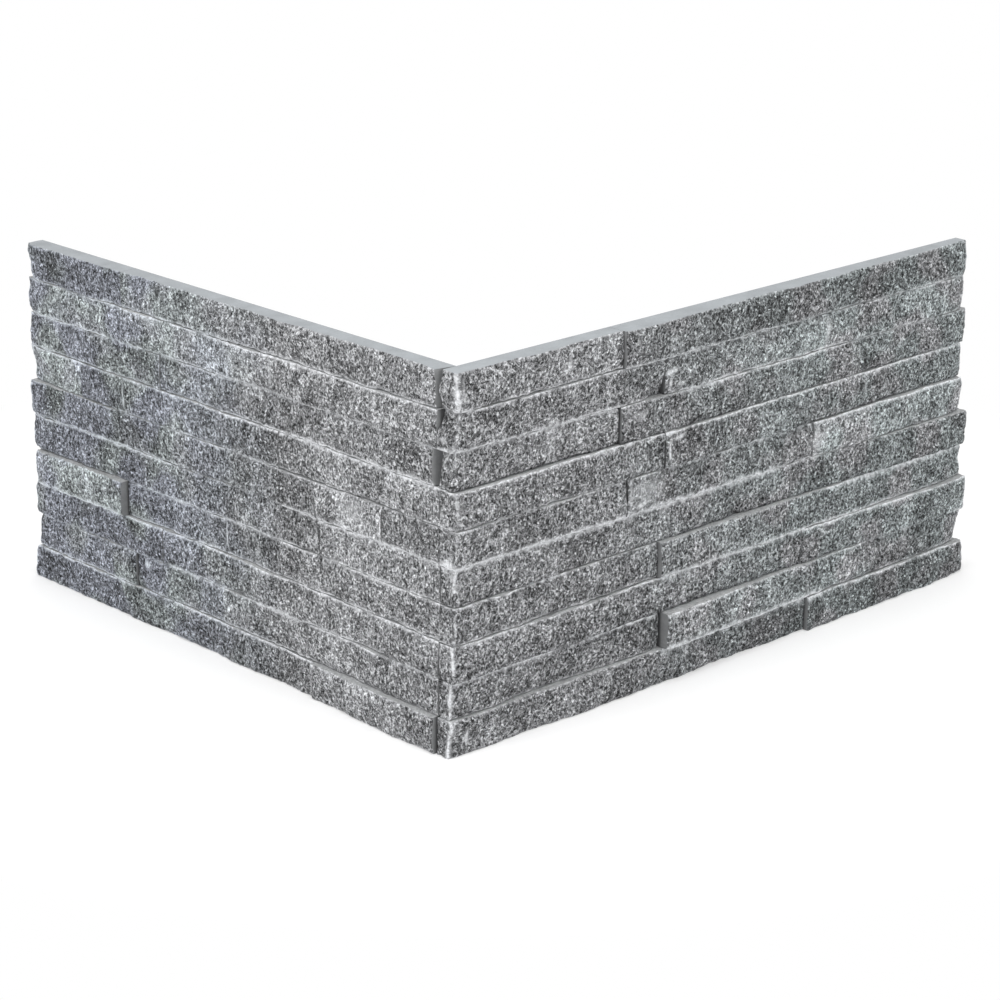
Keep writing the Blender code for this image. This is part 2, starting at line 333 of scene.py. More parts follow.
# Strength and width of the wear on the outer corner, which is also a painted highlight, from the
# top course down. Then how much dirt and painted shade the joint beside it holds. Then the
# bulges of the split ends, by course: height in the course, half height and depth, in mm.
CORNER_WEAR_AND_HIGHLIGHT = (
    (0.85, 1.5), (0.3, 1.0), (0.3, 1.0), (0.35, 1.0), (0.4, 1.0),
    (2.8, 1.0), (0.25, 1.0), (2.2, 1.0), (1.1, 1.3), (1.1, 1.4),
)
CORNER_DIRT_AND_SHADE = (0.2, 1.0, 0.5, 0.0, 0.0, 0.0, 0.0, 0.0, 0.5, 0.8)
BULGES = {1: (9.0, 5.0, 2.2), 2: (6.5, 4.0, 2.6), 3: (0.0, 8.0, 1.2)}
NO_BULGE = (0.0, 1.0, 0.0)


def wear_and_highlight_at(arm, above, along):
    """How hard the bed below a course was knocked at a place, which also sets its painted highlight."""
    for number, start, end, wear in WORN_AND_HIGHLIT_BEDS[arm]:
        if number == above and start * MM <= along < end * MM:
            return wear
    return 1.0


COURSES = {}
for name, outline in outlines.items():
    arm, _, number, _, _ = name.split("_")
    COURSES.setdefault((arm, int(number)), []).append(outline)
LAST_COURSE = max(number for _, number in COURSES)
print("wear at 200 mm:", [wear_and_highlight_at("right", above, 0.2) for above in range(LAST_COURSE + 1)])

# %% [markdown]
# Some places have marks of their own. A white mark is a spot or a vein that the hammer crushed,
# and on the edge of a chip or of the corner it is also a painted highlight. A dark mark is
# painted shade in a notch or a groove, or painted shadow along the foot of a course. Each is an
# oval on one course, strongest in its middle. On the corner's split ends, the place along the
# arm runs on round the corner.

# %% Marks on single courses
# Course, place along the arm and height in the course in mm, half length and half height in
# mm, lean of its upper end along the arm in mm, and strength, below 0 where the mark is dark
# with painted shade.
MARKS = {
    "right": (
        (1, 60.0, 9.0, 1.2, 4.0, 0.0, 0.5), (2, 121.3, 1.5, 1.2, 2.6, 0.3, -1.0),
        (2, 125.5, 10.5, 3.6, 1.3, 1.0, 0.9), (2, 125.0, 5.0, 0.8, 3.6, 0.4, 0.7),
        (2, 131.5, 4.0, 2.6, 1.0, 0.6, 0.6), (2, 236.0, 9.0, 1.5, 6.5, 0.0, 0.6),
        (3, 105.5, 12.0, 3.5, 2.0, 0.0, 0.35), (3, 68.0, 0.2, 34.0, 0.8, 0.0, -0.8),
        (4, 124.6, 8.0, 0.8, 4.6, 0.0, 1.0), (4, 131.0, 14.0, 3.2, 1.4, 1.2, 0.8),
        (4, 280.0, 0.2, 22.0, 0.8, 0.0, -0.8), (5, 99.4, 8.5, 1.2, 7.5, 0.0, 0.45),
        (5, 106.5, 4.0, 3.8, 1.8, 2.2, 0.8), (5, 110.0, 9.5, 13.0, 7.5, 0.0, 0.26),
        (5, 231.0, 9.0, 1.8, 8.0, 0.0, 0.35), (6, 168.0, 0.2, 42.0, 0.8, 0.0, -0.8),
        (8, 145.0, 0.2, 21.0, 0.8, 0.0, -0.7), (2, -16.0, 0.8, 6.0, 1.0, 0.0, 0.7),
        (5, -16.0, 1.5, 5.0, 1.5, 0.0, 0.9), (9, -20.0, 14.0, 1.2, 3.0, 0.0, -1.0),
        (10, -2.5, 8.0, 0.9, 4.5, 0.0, 0.95), (1, -11.2, 10.5, 0.7, 5.0, 0.4, -0.9),
        (1, -8.2, 8.0, 1.0, 9.0, 0.0, 0.45), (1, -4.6, 9.0, 0.6, 8.0, 0.2, 0.35),
        (1, -7.0, 9.0, 3.0, 9.0, 0.0, 0.18), (2, -15.5, 5.5, 2.6, 1.0, 0.0, 0.5),
        (9, -10.8, 4.5, 1.3, 5.0, 0.0, 0.38),
    ),
    "left": (
        (2, 116.0, 9.0, 1.3, 6.0, 0.0, 0.4), (4, 233.0, 8.0, 0.6, 6.5, 0.4, 0.75),
        (5, 60.0, 10.0, 9.0, 5.0, 0.0, 0.25), (7, 155.0, 9.0, 0.7, 7.5, 0.5, 0.8),
        (6, 85.0, 6.0, 0.7, 5.5, 0.8, -1.0), (6, 88.0, 8.0, 1.0, 4.5, -0.8, 0.6),
        (9, 223.5, 11.0, 0.9, 5.0, 0.0, -1.0), (9, 219.5, 13.5, 3.2, 2.0, 0.0, 0.8),
    ),
}


def mark_at(marks, along, up):
    """The strongest mark at a place, from -1, dark, to 1, white."""
    strongest = 0.0
    for place, height, half_length, half_height, lean, strength in marks:
        off_up = (up - height) / half_height
        off_along = (along - place - lean * off_up) / half_length
        here = strength * math.exp(-(off_along ** 2 + off_up ** 2) ** 1.5)
        if abs(here) > abs(strongest):
            strongest = here
    return strongest


print(sum(len(marks) for marks in MARKS.values()), "marks")

# %% [markdown]
# Now the strip itself. The sheet, the two beds and the back close into one solid body, which is
# what a real strip is. Only the strip next to the corner on the right arm and the last one of
# each course show a split end, all the others were sawn to length and butt together. The glue
# fills most of a joint, so each strip takes its share of it, and only the joints that gape stay
# open.

# %% Build one strip
# How much of a joint is left open, and from which width on it gapes and isn't filled at all
JOINT_LEFT_OPEN, JOINT_GAPES = 0.12 * MM, 0.6 * MM
CORNER_LEFT_OPEN, CORNER_GAPES = 0.04 * MM, 0.75 * MM
# How far a strip reaches into the bed joints above and below it
BED_SHARE = 0.05 * MM
# A face that is proud of its neighbour by more than this shows its sawn end, darkened at its foot with
# dirt and painted shade
PROUD = 0.6 * MM
BELOW_STEP = 0.4 * MM
DIRT_AND_SHADE_REACH = 0.55 * MM
# On a split end the relief dies away towards the back, over this share of the thickness, and a
# bulge grows from the outer corner over this length. The end itself moves a little as well.
END_HOLD = 0.25
BULGE_BLEND = 3.0 * MM
NEAR_PUSH, FAR_PUSH = 0.05 * MM, -0.1 * MM
# Extra loss along the arrises of split and of proud sawn ends, and the wear and painted highlight of the
# free ends
SPLIT_LOSS, PROUD_LOSS = 1.3, 2.2
FREE_END_WEAR_AND_HIGHLIGHT = 0.8
# Seeds of the noise, so that no two strips are alike
ARM_SEEDS = {"right": 7.31, "left": 3.17}
COURSE_STRIDE, STRIP_STRIDE = 1.713, 0.377
LOWER_SEED, UPPER_SEED, END_SEED = 11.0, 23.0, 31.0
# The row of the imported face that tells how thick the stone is
MIDDLE_ROW = 2


def joint_share(gap, sides=2, left_open=JOINT_LEFT_OPEN, gapes=JOINT_GAPES):
    """How far a strip reaches into the joint beside it."""
    return 0.0 if gap > gapes or gap < left_open else (gap - left_open) / sides


def shown(white, mark):
    """What shows where a bruise with its painted highlight meets a mark: the whiter of the two, but a
    dark mark of painted shade always.
    """
    return max(white, mark) if mark >= 0.0 else mark


class Sheet:
    """The wrapped sheet of one strip: three grids of lengths, and which columns are riven."""

    def __init__(self, name):
        self.arm, _, number, _, place = name.split("_")
        self.number, self.place = int(number), int(place)
        self.course = COURSES[self.arm, self.number]
        self.outline = outlines[name]
        self.low, self.high = self.outline.low, self.outline.high
        self.course_seed = ARM_SEEDS[self.arm] + COURSE_STRIDE * self.number
        self.seed = self.course_seed + STRIP_STRIDE * self.place
        self.split_near = self.arm == "right" and self.place == 1
        self.split_far = self.place == len(self.course)
        self.foot = self.low[2] - (BED_SHARE if self.low[2] > MM else 0.0)
        self.head = self.high[2] + (BED_SHARE if self.high[2] < cad_box[1][2] - MM else 0.0)
        self.heights = row_heights(self.foot, self.head)
        self.beside = self.neighbours()
        self.corner_wear, self.corner_width = CORNER_WEAR_AND_HIGHLIGHT[self.number - 1]
        self.bulge = BULGES.get(self.number, NO_BULGE) if self.split_near else NO_BULGE
        self.marks = [
            tuple(value * MM for value in mark[1:6]) + mark[6:]
            for mark in MARKS[self.arm] if mark[0] == self.number
        ]
        self.wrap()
        self.roughen()

    def neighbours(self):
        """Depth of the stone beside each end: the next strip's face, or the other arm's end."""
        near = far = None
        if self.place > 1:
            near = self.course[self.place - 2].faces[MIDDLE_ROW][-1, 1]
        elif self.arm == "left":
            near = -COURSES["right", self.number][0].faces[MIDDLE_ROW][0, 0]
        if not self.split_far:
            far = self.course[self.place].faces[MIDDLE_ROW][0, 1]
        return near, far

    def joint_shares(self):
        """How far the strip reaches into the joints at its near and its far end."""
        backs = self.outline.backs
        near = far = 0.0
        if self.place > 1:
            near = joint_share(backs[0, 0] - self.course[self.place - 2].backs[0, 1])
        elif not self.split_near:
            near = joint_share(backs[0, 0], 1, CORNER_LEFT_OPEN, CORNER_GAPES)
        if not self.split_far:
            far = joint_share(self.course[self.place].backs[0, 0] - backs[0, 1])
        return near, far

    def end_shares(self, split, thickness, beside):
        """Shares of the thickness, from the back to the face, at which an end has columns."""
        if split:
            steps = max(3, round(thickness / GRAIN))
            return np.arange(steps) / steps
        step = thickness - beside
        if step < PROUD:
            return np.array((0.0, 0.5))
        return np.array((0.0, beside - BELOW_STEP, beside + 0.2 * step, beside + 0.6 * step)) / thickness

    def wrap(self):
        """Lay the sheet up the near end, along the face and back along the far end."""
        near_share, far_share = self.joint_shares()
        shares = column_shares(self.high[0] - self.low[0])
        along, out = face_grid(self.outline, self.heights, shares)
        along = along - near_share * (1 - shares) + far_share * shares
        back_near, back_far = (
            np.interp(self.heights, self.outline.heights, backs) for backs in self.outline.backs.T
        )
        back_near, back_far = back_near - near_share, back_far + far_share
        near = self.end_shares(self.split_near, out[:, 0].mean(), self.beside[0])
        far = self.end_shares(self.split_far, out[:, -1].mean(), self.beside[1])[:0:-1]
        near_along = back_near[:, None] + (along[:, :1] - back_near[:, None]) * near
        far_along = back_far[:, None] + (along[:, -1:] - back_far[:, None]) * far
        self.along = np.hstack((near_along, along, far_along))
        self.out = np.hstack((out[:, :1] * near, out, out[:, -1:] * far))
        self.up = np.repeat(self.heights[:, None], self.along.shape[1], axis=1)
        # Above 0 bruise and painted highlight, below 0 dirt and painted shade
        self.bruise_and_painted_light = np.zeros_like(self.along)
        self.face = slice(len(near), len(near) + along.shape[1])
        self.near_edge, self.far_edge = along[:, 0], along[:, -1]
        self.back_far = back_far
        swollen = self.bulge[2] * MM
        self.reach = (self.low[0] - near_share - swollen, self.high[0] + far_share)

    def roughen(self):
        """Carve the riven columns, and note everywhere how bruised or dirty the stone is, with the
        painted highlight and shade that go with it.
        """
        # How hard each bed was knocked, which also sets its painted highlight
        knocks_and_highlights = [
            [wear_and_highlight_at(self.arm, above, max(along, 0.0)) for above in (self.number, self.number - 1)]
            for along in self.along[0]
        ]
        for row, up in enumerate(self.heights):
            upper = bool(self.head - up < up - self.foot)
            to_arris = self.head - up if upper else up - self.foot
            edge = self.seed + (UPPER_SEED if upper else LOWER_SEED)
            crumbles = self.number != (1 if upper else LAST_COURSE)
            for column in range(self.along.shape[1]):
                on_near = column < self.face.start
                on_far = column >= self.face.stop
                if (on_near and not self.split_near) or (on_far and not self.split_far):
                    # A sawn end is darkened in its joint with dirt and painted shade
                    self.bruise_and_painted_light[row, column] = -self.dirt_and_shade(self.out[row, column], on_far)
                    continue
                # The noise along an arris runs on round the split ends
                along, out = self.along[row, column], self.out[row, column]
                run = along - out if on_near else along + out if on_far else along
                relief = riven(along, up, out, self.course_seed)
                lost = bevel(to_arris, run, edge)
                white = bruise_and_painted_light(to_arris, run, edge, knocks_and_highlights[column][upper])
                if crumbles:
                    self.up[row, column] += (-1 if upper else 1) * crumble(to_arris, run, edge)
                if on_near or on_far:
                    self.carve_end(row, column, relief - lost, white)
                else:
                    self.carve_face(row, column, relief, lost, white)
        self.out = np.minimum(self.out, self.high[1])
        self.along = np.clip(self.along, *self.reach)

    def dirt_and_shade(self, out, on_far):
        """How dark a sawn end is, with dirt and painted shade: most in the joint, less where it stands
        proud of it.
        """
        at_corner = self.place == 1 and not on_far
        amount = CORNER_DIRT_AND_SHADE[self.number - 1] if at_corner else 1.0
        return amount * math.exp(-max(0.0, out - self.beside[on_far]) / DIRT_AND_SHADE_REACH)

    def carve_end(self, row, column, worn, white):
        """Move one point of a split end, whose relief runs along the arm."""
        up, out = self.heights[row], self.out[row, column]
        on_near = column < self.face.start
        thickness = self.out[row, self.face.start if on_near else self.face.stop - 1]
        to_corner = thickness - out
        bulge = mark = 0.0
        if on_near:
            # The worn outer corner is also a painted highlight
            wear = bruise_and_painted_light(to_corner / self.corner_width, up, self.seed + END_SEED, self.corner_wear)
            height, reach, depth = self.bulge
            rise = ((up - self.foot) / MM - height) / reach
            bulge = depth * MM * math.exp(-rise ** 2) * min(1.0, to_corner / BULGE_BLEND)
            mark = mark_at(self.marks, self.near_edge[row] - to_corner, up - self.foot)
        else:
            wear = bruise_and_painted_light(to_corner, up, self.seed + END_SEED)
        hold = min(1.0, out / (END_HOLD * thickness))
        push = bulge + hold * worn + (NEAR_PUSH if on_near else FAR_PUSH)
        self.along[row, column] += -push if on_near else push
        self.bruise_and_painted_light[row, column] = shown(max(white, wear), mark)

    def carve_face(self, row, column, relief, lost, white):
        """Move one point of the face, whose relief runs out from the wall."""
        up, along, out = self.heights[row], self.along[row, column], self.out[row, column]
        from_near, from_far = along - self.near_edge[row], self.far_edge[row] - along
        seed = self.seed + END_SEED
        if self.split_near:
            lost += SPLIT_LOSS * bevel(from_near, up, seed)
            white = max(white, bruise_and_painted_light(from_near / self.corner_width, up, seed, self.corner_wear))
        elif out - self.beside[0] > PROUD:
            lost += PROUD_LOSS * bevel(from_near, up, seed)
        if self.split_far:
            lost += SPLIT_LOSS * bevel(from_far, up, seed)
            # The worn free end is also a painted highlight
            white = max(white, bruise_and_painted_light(from_far, up, seed, FREE_END_WEAR_AND_HIGHLIGHT))
        elif out - self.beside[1] > PROUD:
            lost += PROUD_LOSS * bevel(from_far, up, seed)
        mark = mark_at(self.marks, along, up - self.foot)
        self.bruise_and_painted_light[row, column] = shown(white, mark)
        self.out[row, column] += relief - lost


trial = Sheet(strip_names[0])
print(strip_names[0], "sheet", trial.along.shape)

# %% [markdown]
# The stones come from several beds of the quarry, so some strips are lighter and some darker.
# The CAD model says which, by the name of each strip's material. Stone varies within a bed too,
# so every strip also gets a small seeded shift, and a few are named here because they stand out.
# The tone is stored on the mesh and read by the finish, so all the strips share one material.

# %% Which bed each strip was cut from
BED_TONES = {"light_stone": 1.17, "mid_stone": 0.98, "dark_stone": 0.85}
TONE_SPREAD, TONE_STRIDE = 0.04, 41.0
ODD_STONES = {
    "left_course_01_strip_1": 0.93, "left_course_01_strip_2": 1.02, "left_course_02_strip_2": 1.17,
    "left_course_03_strip_3": 1.07, "left_course_04_strip_1": 1.36, "left_course_04_strip_4": 0.72,
    "left_course_04_strip_5": 1.28, "left_course_05_strip_1": 0.83, "left_course_05_strip_2": 1.28,
    "left_course_05_strip_3": 1.06, "left_course_05_strip_4": 0.90, "left_course_07_strip_1": 1.14,
    "left_course_07_strip_3": 0.90, "left_course_07_strip_4": 1.15, "left_course_08_strip_1": 1.12,
    "left_course_09_strip_1": 1.18, "left_course_09_strip_2": 0.95, "left_course_09_strip_3": 1.06,
    "left_course_10_strip_3": 0.88, "right_course_02_strip_1": 0.93, "right_course_03_strip_2": 0.90,
    "right_course_04_strip_1": 1.08, "right_course_04_strip_3": 1.26, "right_course_05_strip_2": 0.87,
    "right_course_05_strip_3": 1.15, "right_course_07_strip_1": 0.90, "right_course_07_strip_2": 1.10,
    "right_course_08_strip_1": 1.10, "right_course_09_strip_1": 1.22, "right_course_09_strip_2": 0.94,
    "right_course_09_strip_3": 1.06, "right_course_09_strip_4": 0.82, "right_course_10_strip_1": 0.94,
    "right_course_10_strip_2": 0.88, "right_course_10_strip_3": 0.89,
}


def bed_of(name):
    return frame["nodes"][name].data.materials[0].name.split(".")[0]


def tone_of(name, seed):
    shift = TONE_SPREAD * math.sin(TONE_STRIDE * seed)
    return BED_TONES[bed_of(name)] * ODD_STONES.get(name, 1.0) + shift


beds = [bed_of(name) for name in strip_names]
print({bed: beds.count(bed) for bed in BED_TONES})

# %% [markdown]
# The sheet becomes one closed body. Its rows and columns are joined into small squares, and the
# flat sawn sides, which are the two beds and the back, are one polygon each. A polygon's edge
# takes every corner of the sheet, so nothing is left open between the riven and the sawn stone.

# %% Turn a sheet into a closed mesh
RIVEN, SAWN_BED, SAWN_END, LEDGE = 0, 1, 2, 3


def close_sheet(sheet, along_way, out_way):
    """Vertices in the row frame, and the faces of the closed body with their finishes."""
    rows, columns = sheet.along.shape
    points = (
        sheet.along[..., None] * np.array(along_way)
        + sheet.out[..., None] * np.array(out_way)
        + sheet.up[..., None] * np.array((0.0, 0.0, 1.0))
    )
    back_edge = sheet.back_far[:, None] * np.array(along_way)
    back_edge[:, 2] = sheet.heights
    points = np.vstack((points.reshape(-1, 3), back_edge))
    at = np.arange(rows * columns).reshape(rows, columns)
    at = np.hstack((at, rows * columns + np.arange(rows)[:, None]))
    squares = np.stack((at[:-1, :-1], at[:-1, 1:], at[1:, 1:], at[1:, :-1]), axis=-1)
    finishes = np.full(squares.shape[:2], RIVEN)
    if not sheet.split_near:
        finishes[:, : sheet.face.start] = SAWN_END
    if not sheet.split_far:
        finishes[:, sheet.face.stop - 1 :] = SAWN_END
    flats = [list(at[0, ::-1]), list(at[-1]), list(at[:, 0]) + list(at[::-1, -1])]
    head = SAWN_BED if sheet.number == 1 else LEDGE
    faces = [list(map(int, face)) for face in list(squares.reshape(-1, 4)) + flats]
    return points, faces, np.concatenate((finishes.ravel(), (SAWN_BED, head, SAWN_BED)))


def store(mesh, name, values):
    """Keep one number for each vertex, which the finish reads."""
    layer = mesh.attributes.new(name, "FLOAT", "POINT")
    layer.data.foreach_set("value", np.asarray(values, dtype=np.float32))


def strip_mesh(name, sheet):
    along_way, out_way = ARMS[sheet.arm]
    points, faces, finishes = close_sheet(sheet, along_way, out_way)
    mesh = bpy.data.meshes.new(f"{name}_stone")
    mesh.from_pydata(points.tolist(), [], faces)
    turned = along_way.cross(Vector((0, 0, 1))).dot(out_way) < 0
    if turned:
        mesh.flip_normals()
    mesh.polygons.foreach_set("material_index", finishes.astype(np.int32))
    mesh.polygons.foreach_set("use_smooth", finishes == RIVEN)
    # Above 0 bruise and painted highlight, below 0 dirt and painted shade
    store(mesh, "bruise_and_painted_light", np.concatenate((sheet.bruise_and_painted_light.ravel(), sheet.bruise_and_painted_light[:, -1])))
    store(mesh, "tone", np.full(len(points), tone_of(name, sheet.seed)))
    mesh.validate()
    mesh.update()
    return mesh


print(strip_names[0], "has", len(close_sheet(trial, *ARMS[trial.arm])[1]), "faces")

# %% [markdown]
# Shader sums read best as sums. The first class holds one output of a node, and an operator on
# it adds the Math node that does the sum. The reflected forms let a plain number come first. The
# second class adds the nodes and joins them, and the third one does so for a material.

# %% Write shader maths as expressions
SHINE = 0.35


class Value:
    """One output of a node, such as a number that varies over a surface."""

    def __init__(self, nodes, socket):
        self.nodes = nodes
        self.socket = socket

    def maths(self, operation, *terms, clamp=False):
        settings = {"operation": operation, "use_clamp": clamp}
        return self.nodes.node("ShaderNodeMath", settings, dict(enumerate(terms)))

    def __add__(self, other):
        return self.maths("ADD", self, other)

    def __radd__(self, other):
        return self.maths("ADD", other, self)

    def __sub__(self, other):
        return self.maths("SUBTRACT", self, other)

    def __rsub__(self, other):
        return self.maths("SUBTRACT", other, self)

    def __mul__(self, other):
        return self.maths("MULTIPLY", self, other)

    def __rmul__(self, other):
        return self.maths("MULTIPLY", other, self)

    def __pow__(self, power):
        return self.maths("POWER", self, power)

    def __abs__(self):
        return self.maths("ABSOLUTE", self)

    def at_least(self, level):
        return self.maths("MAXIMUM", self, level)

    def share(self, factor):
        """The product with a factor, kept between 0 and 1."""
        return self.maths("MULTIPLY", self, factor, clamp=True)

    def above(self, level, softness):
        """0 below a level and 1 above it, with a soft step between."""
        return self.maths("MULTIPLY_ADD", self, 1.0 / softness, 0.5 - level / softness, clamp=True)


class Nodes:
    """A tree of nodes in the making."""

    def __init__(self, tree):
        self.tree = tree

    def node(self, kind, settings=None, sockets=None, output=0):
        """Add a node, set it up, fill its sockets and give back one of its outputs."""
        made = self.tree.nodes.new(kind)
        for setting, value in (settings or {}).items():
            setattr(made, setting, value)
        for key, value in (sockets or {}).items():
            socket = made.inputs[key]
            if isinstance(value, Value):
                self.tree.links.new(value.socket, socket)
            elif socket.type == "RGBA":
                socket.default_value = (*value, 1.0)
            else:
                socket.default_value = value
        return Value(self, made.outputs[output])

    def spot(self):
        """The place on the object, in metres."""
        return self.node("ShaderNodeTexCoord", output="Object")

    def place(self, axis):
        return self.node("ShaderNodeSeparateXYZ", {}, {0: self.spot()}, axis)

    def seen(self):
        """1 for what the camera sees, also in a mirror or through glass, and 0 for other light."""
        seen = self.node("ShaderNodeLightPath", output="Is Camera Ray")
        for other in ("Is Glossy Ray", "Is Transmission Ray"):
            seen = seen.at_least(self.node("ShaderNodeLightPath", output=other))
        return seen

    def switch(self, share, first, second):
        """One shader where the share is 0 and another where it is 1."""
        return self.node("ShaderNodeMixShader", {}, {0: share, 1: first, 2: second})


class Finish(Nodes):
    """A material in the making, built round one shader."""

    def __init__(self, name, roughness):
        self.material = bpy.data.materials.new(name)
        self.material.use_nodes = True
        super().__init__(self.material.node_tree)
        self.shader = self.tree.nodes["Principled BSDF"]
        self.shader.inputs["Roughness"].default_value = roughness
        self.shader.inputs["Specular IOR Level"].default_value = SHINE

    def noise(self, length, detail=2.0, roughness=0.5, stretch=(1.0, 1.0, 1.0)):
        """Noise whose patches are about this long, in metres."""
        place = self.spot()
        if stretch != (1.0, 1.0, 1.0):
            place = self.node("ShaderNodeMapping", {}, {"Vector": place, "Scale": stretch}, "Vector")
        sockets = {"Vector": place, "Scale": 1.0 / length, "Detail": detail, "Roughness": roughness}
        return self.node("ShaderNodeTexNoise", {}, sockets)

    def grains(self, length):
        """One random level for each grain of about this length, in metres."""
        sockets = {"Vector": self.spot(), "Scale": 1.0 / length}
        colour = self.node("ShaderNodeTexVoronoi", {}, sockets, "Color")
        return self.node("ShaderNodeSeparateColor", {}, {"Color": colour}, "Red")

    def attribute(self, name):
        return self.node("ShaderNodeAttribute", {"attribute_name": name}, {}, "Fac")

    def mixed(self, share, first, second):
        """A colour between two others."""
        settings = {"data_type": "RGBA", "clamp_factor": True}
        return self.node("ShaderNodeMix", settings, {0: share, 6: first, 7: second}, 2)

    def grey(self, level, tint):
        """A colour of this level, with a tint."""
        return self.node("ShaderNodeVectorMath", {"operation": "SCALE"}, {0: tint, "Scale": level})

    def feed(self, socket, value):
        self.tree.links.new(value.socket, self.shader.inputs[socket])

    def bump(self, height, depth):
        sockets = {"Height": height, "Distance": depth, "Strength": 1.0}
        self.feed("Normal", self.node("ShaderNodeBump", {}, sockets))


print("shader helpers ready")

# %% [markdown]
# Riven quartzite is grey only from a distance. Close up it is dark mica and pale quartz, each
# grain about a millimetre across, and the quartz runs in short curling threads. A thread is
# where a noise passes its middle level. All these steps add up on the even scale that the eye
# uses, and a power turns the sum into the share of light that the stone gives back. Some grains
# flash white, and bruised stone is white where it was rubbed, which is also a painted highlight
# on the arrises. The dark marks are painted shade. Towards both free ends the stone turns green
# in places, and towards the left one it is cooler in tint and blue in places.

# %% The riven finish
STONE_LEVEL, CONTRAST = 0.209, 1.55
DARKEST_SHADE, EYE_POWER = 0.2, 2.2
FLASH_LEVEL, FLASH_RARITY = 0.66, 0.984
BRUISE_AND_HIGHLIGHT_LEVEL = 0.86
PAINTED_SHADE_LOSS = 0.7
BLUE_TINT = (0.92, 0.975, 1.12)
GREEN_TINT = (0.92, 1.01, 1.025)
PLAIN_TINT = (0.985, 1.0, 1.032)
COOL_TINT = (0.94, 0.995, 1.06)
# The free ends of the arms, in metres from the inner corner
LEFT_FROM, LEFT_BLEND = 0.16, 0.10
RIGHT_FROM, RIGHT_BLEND = 0.15, 0.16

riven_finish = Finish("riven_quartzite", 0.8)
coarse = riven_finish.grains(1.2 * MM)
fine = riven_finish.grains(0.65 * MM)
cloud = riven_finish.noise(1.6 * MM, detail=3.0, roughness=0.65)
curl = riven_finish.noise(2.6 * MM, detail=1.0, stretch=(1.0, 1.0, 0.7))
thread = 1.0 - abs(curl - 0.5).above(0.035, 0.06)
patch = riven_finish.noise(9.0 * MM, detail=2.0, roughness=0.5, stretch=(1.0, 1.0, 0.6))
broad = riven_finish.noise(42.0 * MM, detail=1.0, stretch=(1.0, 1.0, 1.6))
step_up = 0.30 * (coarse - 0.5) + 0.47 * (fine - 0.5) + 1.02 * (cloud - 0.5)
step_up = step_up + 0.36 * (thread - 0.4) + 0.54 * (patch - 0.5) + 0.34 * (broad - 0.5)

# Dark stone has the stronger contrast
tone = riven_finish.attribute("tone")
shade = (1.0 + CONTRAST * (1.3 - 0.31 * tone) * step_up).at_least(DARKEST_SHADE)
level = STONE_LEVEL * tone * shade ** EYE_POWER
flash = riven_finish.grains(0.9 * MM).above(FLASH_RARITY, 0.01)
level = level + flash * (FLASH_LEVEL - level)

# The stored mark is above 0 where the stone is bruised and a highlight is painted, and below 0 where
# shade is painted, on the sawn ends together with dirt
mark = riven_finish.attribute("bruise_and_painted_light")
rubbed_and_highlit = riven_finish.noise(1.5 * MM, detail=3.0, roughness=0.65).above(0.46, 0.22)
bruised_and_highlit = mark.share(0.36 + 0.70 * rubbed_and_highlit)
level = level + bruised_and_highlit * (BRUISE_AND_HIGHLIGHT_LEVEL - level)
# Dark marks are painted shade
level = level * (1.0 - PAINTED_SHADE_LOSS * mark.share(-1.0))

# Tints towards the free ends, where dark strips are the bluest
far_left = riven_finish.place("Y").above(LEFT_FROM, LEFT_BLEND)
far_right = riven_finish.place("X").above(RIGHT_FROM, RIGHT_BLEND)
dark = (1.0 - tone).above(-0.02, 0.2)
blue = riven_finish.noise(26.0 * MM, detail=0.5) + 0.16 * (dark - 0.5)
blue = far_left * blue.above(0.51, 0.12) * (1.0 - bruised_and_highlit)
green = riven_finish.noise(20.0 * MM, detail=0.5).above(0.46, 0.14)
green = (far_left + far_right) * green * (1.0 - bruised_and_highlit)
tint = riven_finish.mixed(far_left, PLAIN_TINT, COOL_TINT)
tint = riven_finish.mixed(green, tint, GREEN_TINT)
tint = riven_finish.mixed(blue, tint, BLUE_TINT)
riven_finish.feed("Base Color", riven_finish.grey(level, tint))
riven_finish.feed("Roughness", 0.92 - 0.35 * coarse)
riven_finish.bump(0.6 * cloud + 0.25 * coarse + 0.15 * fine, 0.8 * MM)
print("riven finish:", len(riven_finish.tree.nodes), "nodes")

# %% [markdown]
# The sawn beds are smooth and much paler: the blade leaves a fine flour in the pores and the
# crystals no longer cast shadows on each other. Only soft clouds and faint blade marks are left.
# The ends were cut later, with no flour left on them. In the joints they are darker, with dirt
# from the glue and with painted shade. The ledge that a proud strip leaves was knocked by the
# chisel, so it is the palest of all.

# %% The sawn finishes
BED_LEVEL, BED_TINT = 0.335, (0.94, 1.0, 1.05)
END_LEVEL, END_TINT = 0.27, (0.98, 1.0, 1.015)
LEDGE_LEVEL, LEDGE_TINT = 0.38, (0.98, 1.0, 1.01)
SOIL_AND_SHADE_LOSS = 0.65


def sawn(name, sawn_level, tint, speckle=0.3, soiled_and_shaded=False):
    """A finish of this level and tint, more or less speckled, and darkened in the joints with dirt and
    painted shade or not.
    """
    finish = Finish(name, 0.62)
    cloud = finish.noise(11.0 * MM, detail=4.0, roughness=0.6)
    fleck = finish.noise(1.2 * MM, detail=2.0, roughness=0.6)
    streak = finish.noise(5.0 * MM, detail=2.0, stretch=(0.35, 0.35, 1.0))
    level = 1.0 + 0.35 * (cloud - 0.5) + 0.40 * (streak - 0.5) + speckle * (fleck - 0.5)
    level = sawn_level * level
    if soiled_and_shaded:
        # Dirt and painted shade in the joints
        level = level * (1.0 - finish.attribute("bruise_and_painted_light").share(-SOIL_AND_SHADE_LOSS))
    finish.feed("Base Color", finish.grey(level, tint))
    finish.bump(fleck, 0.05 * MM)
    print(name, len(finish.tree.nodes), "nodes")
    return finish.material


